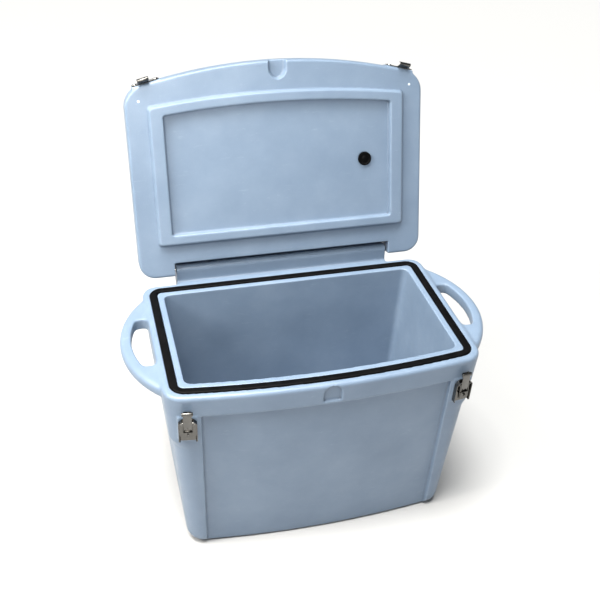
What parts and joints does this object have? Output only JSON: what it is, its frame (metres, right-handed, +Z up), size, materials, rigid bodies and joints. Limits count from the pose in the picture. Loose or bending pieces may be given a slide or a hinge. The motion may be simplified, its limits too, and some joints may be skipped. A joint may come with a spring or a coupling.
{
  "type": "insulated cool box",
  "caption": "Insulated moulded cool box with a bowed front, grab handles, a rim gasket, a lid on a through-rod hinge standing open, and steel toggle latches.",
  "frame": {"origin": "centre of the flat base, on the floor", "axes": "+Z up, -Y towards the latches, +Y towards the hinge, X along the box; the lid stands open"},
  "size_m": [0.702, 0.5103, 0.8009],
  "materials": {
    "plastic": "satin moulded polyethylene, blue-grey",
    "rubber": "black",
    "foam": "rigid insulating foam, unseen",
    "steel": "pressed stainless steel"
  },
  "bodies": {
    "box": {"base_fill_plug": "rubber", "base_rivet_low_left": "steel", "base_rivet_low_right": "steel", "base_rivet_top_left": "steel", "base_rivet_top_right": "steel", "body_foam_core": "foam", "body_shell": "plastic", "hinge_rod": "steel", "latch_base_left": "steel", "latch_base_right": "steel", "lever_pin_left": "steel", "lever_pin_right": "steel", "rim_gasket": "rubber"},
    "lid": {"keeper_left": "steel", "keeper_right": "steel", "keeper_rivet_left_inner": "steel", "keeper_rivet_left_outer": "steel", "keeper_rivet_right_inner": "steel", "keeper_rivet_right_outer": "steel", "lid_fill_plug": "rubber", "lid_foam_core": "foam", "lid_shell": "plastic", "rod_cap_left": "rubber", "rod_cap_right": "rubber"},
    "latch_lever_left": {"latch_lever_left": "steel"},
    "latch_claw_left": {"latch_claw_left": "steel", "claw_pin_left": "steel"},
    "latch_lever_right": {"latch_lever_right": "steel"},
    "latch_claw_right": {"latch_claw_right": "steel", "claw_pin_right": "steel"}
  },
  "joints": [
    {"name": "lid_hinge", "type": "hinge", "parent": "box", "child": "lid", "pos_m": [0, 0.1902, 0.4125], "axis": [-1, 0, 0], "range_deg": [-105.1, 0]},
    {"name": "lever_left_hinge", "type": "hinge", "parent": "box", "child": "latch_lever_left", "pos_m": [-0.25654, -0.1831, 0.33867], "axis": [-0.9911, 0.1331, 0], "range_deg": [0, 120]},
    {"name": "claw_left_hinge", "type": "hinge", "parent": "latch_lever_left", "child": "latch_claw_left", "pos_m": [-0.25633, -0.18154, 0.33273], "axis": [-0.9911, 0.1331, 0], "range_deg": [-120, 0]},
    {"name": "lever_right_hinge", "type": "hinge", "parent": "box", "child": "latch_lever_right", "pos_m": [0.25654, -0.1831, 0.33867], "axis": [-0.9911, -0.1331, 0], "range_deg": [0, 120]},
    {"name": "claw_right_hinge", "type": "hinge", "parent": "latch_lever_right", "child": "latch_claw_right", "pos_m": [0.25633, -0.18154, 0.33273], "axis": [-0.9911, -0.1331, 0], "range_deg": [-120, 0]}
  ],
  "couplings": [
    {"joint": "claw_left_hinge", "follows": "lever_left_hinge", "ratio": -1},
    {"joint": "claw_right_hinge", "follows": "lever_right_hinge", "ratio": -1}
  ]
}
